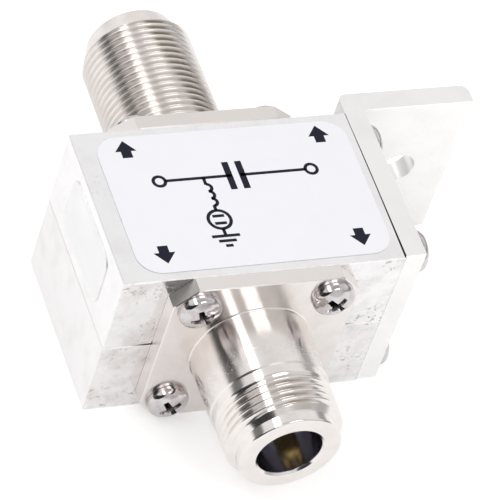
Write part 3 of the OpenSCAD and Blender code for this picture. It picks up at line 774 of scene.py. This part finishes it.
bracket_spots = [(rise, y, BRACKET_THICKNESS) for y in (-SCREW_HALF, SCREW_HALF)
                 for rise in (-BRACKET_SCREW_RISE, BRACKET_SCREW_RISE)]
screw_set("bracket_fixing_screws", "bracket_screws", BRACKET_THICKNESS, bracket_spots,
          turns=np.radians([15, 60, 33, 80]), place_points=at_bracket_side)

# Labels
# White printed film stuck on the top, with round corners, arrows toward the two jacks and a line
# drawing of the circuit; a plain silvered film on the left side.
LABEL_FILM = 0.00010
LABEL_HALF = (0.01735, 0.0113)
LABEL_CENTRE_X = 0.0008
LABEL_ROUND = 0.0032
LABEL_EDGE = 0.00003


def round_outline(half_x, half_y, radius, steps=12):
    """Rectangle about the origin with round corners, anticlockwise."""
    turn = np.linspace(0, np.pi / 2, steps)
    quarters = []
    for number, (x, y) in enumerate([(1, 1), (-1, 1), (-1, -1), (1, -1)]):
        angle = turn + number * np.pi / 2
        centre = np.array([x * (half_x - radius), y * (half_y - radius)])
        quarters.append(centre + radius * np.stack([np.cos(angle), np.sin(angle)], 1))
    return np.vstack(quarters)


def film_grid(half_x, half_y, radius, thickness, edge):
    """Thin film: its outline carried from the middle of its back, round the edge, to that of its front."""
    outline = round_outline(half_x, half_y, radius)
    inner = round_outline(half_x - edge, half_y - edge, radius - edge)
    loops = [(inner * 0, 0), (inner * 0.5, 0), (inner, 0), (outline, edge), (outline, thickness - edge),
             (inner, thickness), (inner * 0.5, thickness), (inner * 0, thickness)]
    return np.stack([np.column_stack([loop, np.full(len(loop), height)]) for loop, height in loops])


def label_film(name, light, dark, silvering):
    """Film with a soft sheen, a faint cloudiness and a fine grain, as metallic as its silvering says."""
    material, tree, shader = new_material(name, IOR=1.48, Metallic=silvering)
    place = place_on_object(tree)
    cloud = noise(tree, place, scale=300.0, detail=3.0)
    grain = noise(tree, place, scale=5000.0, detail=2.0)
    colour = blend_colours(tree, cloud, light, dark)
    finish_material(tree, shader, colour, ramp(tree, cloud, 0.2, 0.8, 0.4, 0.55), grain, depth=0.000002)
    return material


white_film = label_film("top label film", light=(0.92, 0.915, 0.95, 1), dark=(0.89, 0.885, 0.92, 1),
                        silvering=0.0)
silver_film = label_film("side label film", light=(0.90, 0.895, 0.90, 1), dark=(0.875, 0.87, 0.875, 1),
                         silvering=0.9)
points, faces = join_grids([(film_grid(*LABEL_HALF, LABEL_ROUND, LABEL_FILM, LABEL_EDGE), True)])
label = new_piece("top_label_film", points + [LABEL_CENTRE_X, 0, TOP_Z], faces, white_film)
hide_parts("top_label")
dress("side_label", silver_film)

# Print on the top label: bands of dark blue ink.
INK_DARK = (0.007, 0.007, 0.018, 1)
INK_LIGHT = (0.018, 0.018, 0.036, 1)
INK_THICKNESS = 0.000012
INK_SINK = 0.000002
THIN = 0.00045
BOLD = 0.0009
ARC_POINTS = 41
ARROW_X = 0.0134
ARROW_SPOTS = ((0.0088, 1), (-0.0081, -1))
ARROW_LENGTHS = (0.00175, 0.0011)
ARROW_WIDTHS = (0.00002, 0.0029, 0.0014, 0.0014)
LINE_Y = 0.0034
LINE_GAP = 0.0006
LINE_END = 0.0097
TERMINAL_X = 0.0105
TERMINAL_RADIUS = 0.0008
PLATE_X = 0.0009
PLATE_HALF = 0.0023
BRANCH_X = -0.0045
COIL_DOWN = 0.0017
COIL_STEP = 0.0012
COIL_TURNS = 3
COIL_RADIUS = 0.0006
TUBE_DOWN = 0.0070
TUBE_RADIUS = 0.0015
ELECTRODE_HALF = 0.0008
ELECTRODES_DOWN = (0.0064, 0.0076)
BRANCH_LINES = ((0, 0.0012), (0.0046, 0.0055), (0.0085, 0.0095))
GROUND_BARS = ((0.0019, 0.0097), (0.0012, 0.0105), (0.0005, 0.0113))


def ink_band(path, widths):
    """Band of ink: a flat rectangle carried along a path, as wide as is given at each of its points."""
    path = np.array(path, float)
    along = np.gradient(path, axis=0)
    along /= np.linalg.norm(along, axis=1)[:, None]
    side = np.stack([-along[:, 1], along[:, 0]], 1) * np.broadcast_to(widths, len(path))[:, None] / 2
    low = np.full((len(path), 1), -INK_SINK)
    high = np.full((len(path), 1), INK_THICKNESS)
    section = np.stack([np.hstack([path - side, low]), np.hstack([path + side, low]),
                        np.hstack([path + side, high]), np.hstack([path - side, high])], 1)
    ends = [np.broadcast_to(section[at].mean(0), (1, 4, 3)) for at in (0, -1)]
    return np.concatenate([ends[0], section, ends[1]]), True


def arrow(x, y, way):
    """Arrow along Y with a broad head and a short stem; way is 1 or -1."""
    head, stem = ARROW_LENGTHS
    stops = y + way * np.array([head, 0, 0, -stem])
    return ink_band(np.stack([np.full(len(stops), x), stops], 1), ARROW_WIDTHS)


def arc(x, y, radius, start, end):
    """Thin part of a ring between two angles in degrees."""
    turn = np.radians(np.linspace(start, end, ARC_POINTS))
    return ink_band(np.stack([x + radius * np.cos(turn), y + radius * np.sin(turn)], 1), THIN)


def branch_line(start, end):
    """Thin line along the branch, between two distances below the main line."""
    return ink_band([(BRANCH_X, LINE_Y - start), (BRANCH_X, LINE_Y - end)], THIN)


def branch_bar(half, down):
    """Thin line across the branch, at a distance below the main line."""
    return ink_band([(BRANCH_X - half, LINE_Y - down), (BRANCH_X + half, LINE_Y - down)], THIN)


arrows = [arrow(x, y, way) for x in (-ARROW_X, ARROW_X) for y, way in ARROW_SPOTS]
terminals = [arc(x, LINE_Y, TERMINAL_RADIUS, 0, 360) for x in (-TERMINAL_X, TERMINAL_X)]
main_line = [ink_band([(start, LINE_Y), (end, LINE_Y)], THIN)
             for start, end in ((-LINE_END, -LINE_GAP), (LINE_GAP, LINE_END))]
capacitor = [ink_band([(x, LINE_Y - PLATE_HALF), (x, LINE_Y + PLATE_HALF)], BOLD)
             for x in (-PLATE_X, PLATE_X)]
coil = [arc(BRANCH_X, LINE_Y - COIL_DOWN - turn * COIL_STEP, COIL_RADIUS, 90, -90)
        for turn in range(COIL_TURNS)]
branch = [branch_line(*ends) for ends in BRANCH_LINES]
gas_tube = [arc(BRANCH_X, LINE_Y - TUBE_DOWN, TUBE_RADIUS, 0, 360)]
gas_tube += [branch_bar(ELECTRODE_HALF, down) for down in ELECTRODES_DOWN]
ground = [branch_bar(*bar) for bar in GROUND_BARS]
points, faces = join_grids(arrows + terminals + main_line + capacitor + coil + branch + gas_tube + ground)

ink, tree, shader = new_material("label ink", IOR=1.5, Specular_IOR_Level=0.15)
place = place_on_object(tree)
tone = noise(tree, place, scale=2500.0, detail=3.0)
colour = blend_colours(tree, tone, INK_DARK, INK_LIGHT)
finish_material(tree, shader, colour, ramp(tree, tone, 0.2, 0.8, 0.4, 0.6), tone, depth=0.000002)
new_piece("top_label_print", points + [LABEL_CENTRE_X, 0, TOP_Z + LABEL_FILM], faces, ink)

# Stage
# A white paper floor in a pale studio, with a long soft box on the left and a lamp in front, above.
# Low down, the walls are dark on the left and grey on the right, and a dark screen stands in front.
FLOOR_HALF = 3.0
FLOOR_DROP = 0.00005
FLOOR_TONE = (0.88, 0.88, 0.88, 1)
FLOOR_GLOW = 0.29
FLOOR_WHITENING = 0.1
WHITE = (1, 1, 1, 1)
floor_mesh = bpy.data.meshes.new("floor")
floor_mesh.from_pydata([(-FLOOR_HALF, -FLOOR_HALF, 0), (FLOOR_HALF, -FLOOR_HALF, 0),
                        (FLOOR_HALF, FLOOR_HALF, 0), (-FLOOR_HALF, FLOOR_HALF, 0)], [], [(0, 1, 2, 3)])
floor = bpy.data.objects.new("floor", floor_mesh)
floor.location.z = -FLOOR_DROP
bpy.context.scene.collection.objects.link(floor)
paper = bpy.data.materials.new("floor paper")
paper.use_nodes = True
tree = paper.node_tree
tree.nodes.clear()
path = add_node(tree, "ShaderNodeLightPath").outputs
seen = sums(tree, "MAXIMUM", path["Is Camera Ray"], path["Is Glossy Ray"])
seen = sums(tree, "MAXIMUM", seen, path["Is Transmission Ray"])
gain = sums(tree, "ADD", product(tree, seen, FLOOR_GLOW),
            product(tree, path["Is Camera Ray"], FLOOR_WHITENING))
matte = add_node(tree, "ShaderNodeBsdfDiffuse", {"Color": FLOOR_TONE})
glow = add_node(tree, "ShaderNodeEmission", {"Color": WHITE, "Strength": gain})
both = add_node(tree, "ShaderNodeAddShader", {0: matte.outputs[0], 1: glow.outputs[0]})
add_node(tree, "ShaderNodeOutputMaterial", {"Surface": both.outputs[0]})
floor_mesh.materials.append(paper)

# Studio walls: how bright each direction is, and white for the camera itself.
FRONT_LEVEL = 0.82
BACK_LEVEL = 0.97
CEILING_LEVEL = 0.7
SHADE_TOP = 0.475
SHADE_TOP_SLOPE = 0.13
LEFT_SHADE_BACK = 0.78
LEFT_SHADE_FRONT = 0.95
RIGHT_SHADE = 0.6
RIGHT_FRONT_SHARE = 0.6
SCREEN_TOWARD = (-0.52, -0.79, 0.30)
SCREEN_EDGE = (0.915, 0.95)
SCREEN_SHADE = 0.96
world = bpy.data.worlds.new("studio")
world.use_nodes = True
bpy.context.scene.world = world
tree = world.node_tree
tree.nodes.clear()
outlook = add_node(tree, "ShaderNodeTexCoord").outputs["Generated"]
direction = components(tree, outlook)
wall = product(tree, ramp(tree, direction["Y"], -0.4, 0.2, FRONT_LEVEL, BACK_LEVEL),
               ramp(tree, direction["Z"], 0.8, 0.95, 1.0, CEILING_LEVEL))
left = product(tree, ramp(tree, direction["X"], -0.35, -0.62),
               ramp(tree, direction["Y"], 0.3, -0.4, LEFT_SHADE_BACK, LEFT_SHADE_FRONT))
right = product(tree, ramp(tree, direction["X"], 0.35, 0.6),
                ramp(tree, direction["Z"], 0.42, 0.28, 0.0, RIGHT_SHADE),
                ramp(tree, direction["Y"], -0.45, -0.15, RIGHT_FRONT_SHARE, 1.0))
shade_top = sums(tree, "SUBTRACT", SHADE_TOP, product(tree, direction["Y"], SHADE_TOP_SLOPE))
below_top = ramp(tree, sums(tree, "SUBTRACT", direction["Z"], shade_top), 0.04, -0.06)
above_floor = ramp(tree, direction["Z"], 0.0, 0.1)
side_shade = product(tree, below_top, above_floor, sums(tree, "MAXIMUM", left, right))
toward_screen = add_node(tree, "ShaderNodeVectorMath", {0: outlook, 1: SCREEN_TOWARD},
                         operation="DOT_PRODUCT").outputs["Value"]
screen_shade = product(tree, ramp(tree, toward_screen, *SCREEN_EDGE), SCREEN_SHADE)
shade = sums(tree, "MAXIMUM", side_shade, screen_shade)
level = product(tree, wall, sums(tree, "SUBTRACT", 1.0, shade))
camera_ray = add_node(tree, "ShaderNodeLightPath").outputs["Is Camera Ray"]
level = sums(tree, "MAXIMUM", level, camera_ray)
sky = add_node(tree, "ShaderNodeBackground", {"Color": WHITE, "Strength": level})
add_node(tree, "ShaderNodeOutputWorld", {"Surface": sky.outputs[0]})


def area_lamp(name, place, target, width, height, radiance):
    """Soft rectangular lamp at a place, facing a target, as bright as a wall of the given radiance."""
    data = bpy.data.lights.new(name, "AREA")
    data.shape = "RECTANGLE"
    data.size = width
    data.size_y = height
    data.energy = radiance * np.pi * width * height
    lamp = bpy.data.objects.new(name, data)
    lamp.location = place
    lamp.rotation_mode = "QUATERNION"
    lamp.rotation_quaternion = (Vector(target) - Vector(place)).to_track_quat("-Z", "Y")
    bpy.context.scene.collection.objects.link(lamp)


MIDDLE = (0, 0, AXIS_Z)
area_lamp("soft_box", place=(-0.40, 0, 0.74), target=MIDDLE, width=1.6, height=0.2, radiance=2.1)
area_lamp("front_lamp", place=(0.16, -0.57, 0.80), target=MIDDLE, width=0.4, height=0.32, radiance=2.4)

# Camera where the photograph was taken from, rolled about its line of sight as that camera was.
EYE = Vector((-0.176185, -0.274697, 0.364870))
RIGHT = Vector((0.92267, -0.30359, 0.23773))
BACK = Vector((-0.37595, -0.57133, 0.72955))
camera_data = bpy.data.cameras.new("camera")
camera_data.sensor_width = 36.0
camera_data.lens = 266.4
camera_data.clip_start = 0.01
camera_data.clip_end = 20.0
camera = bpy.data.objects.new("camera", camera_data)
turn = Matrix((RIGHT, BACK.cross(RIGHT), BACK)).transposed()
camera.matrix_world = Matrix.Translation(EYE) @ turn.to_4x4()
bpy.context.scene.collection.objects.link(camera)
bpy.context.scene.camera = camera
bpy.context.scene.view_settings.view_transform = "Standard"

bpy.context.view_layer.update()
